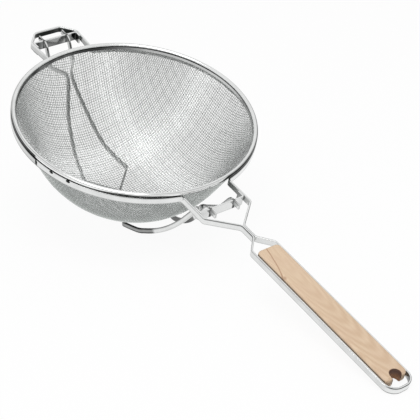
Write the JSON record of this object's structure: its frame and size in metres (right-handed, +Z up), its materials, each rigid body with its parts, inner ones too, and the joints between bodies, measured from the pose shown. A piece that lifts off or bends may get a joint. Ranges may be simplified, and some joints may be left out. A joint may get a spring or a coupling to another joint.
{
  "type": "double sieve strainer",
  "caption": "Long-handled strainer with a double wire-mesh bowl in a beaded rim, support straps, a pan hook and a wooden grip in a bent strip frame.",
  "frame": {"origin": "on the surface the strainer stands on, under the middle of its length", "axes": "+X runs along the handle towards the hanging loop, +Z is up as it stands on its straps and the tail of its handle"},
  "size_m": [0.5846, 0.26, 0.1642],
  "materials": {
    "bright_strip": "bright plated steel, slightly soft reflections",
    "fine_mesh": "bright tinned wire cloth",
    "coarse_mesh": "tinned wire cloth",
    "wood": "unfinished pale hardwood"
  },
  "bodies": {
    "root": {"rim_ring": "bright_strip", "outer_mesh": "coarse_mesh", "inner_mesh": "fine_mesh", "handle_strip": "bright_strip", "hook_strip": "bright_strip", "handle_crossbar": "bright_strip", "hook_crossbar": "bright_strip", "support_strap_left": "bright_strip", "support_strap_right": "bright_strip", "wood_handle": "wood"}
  },
  "joints": []
}
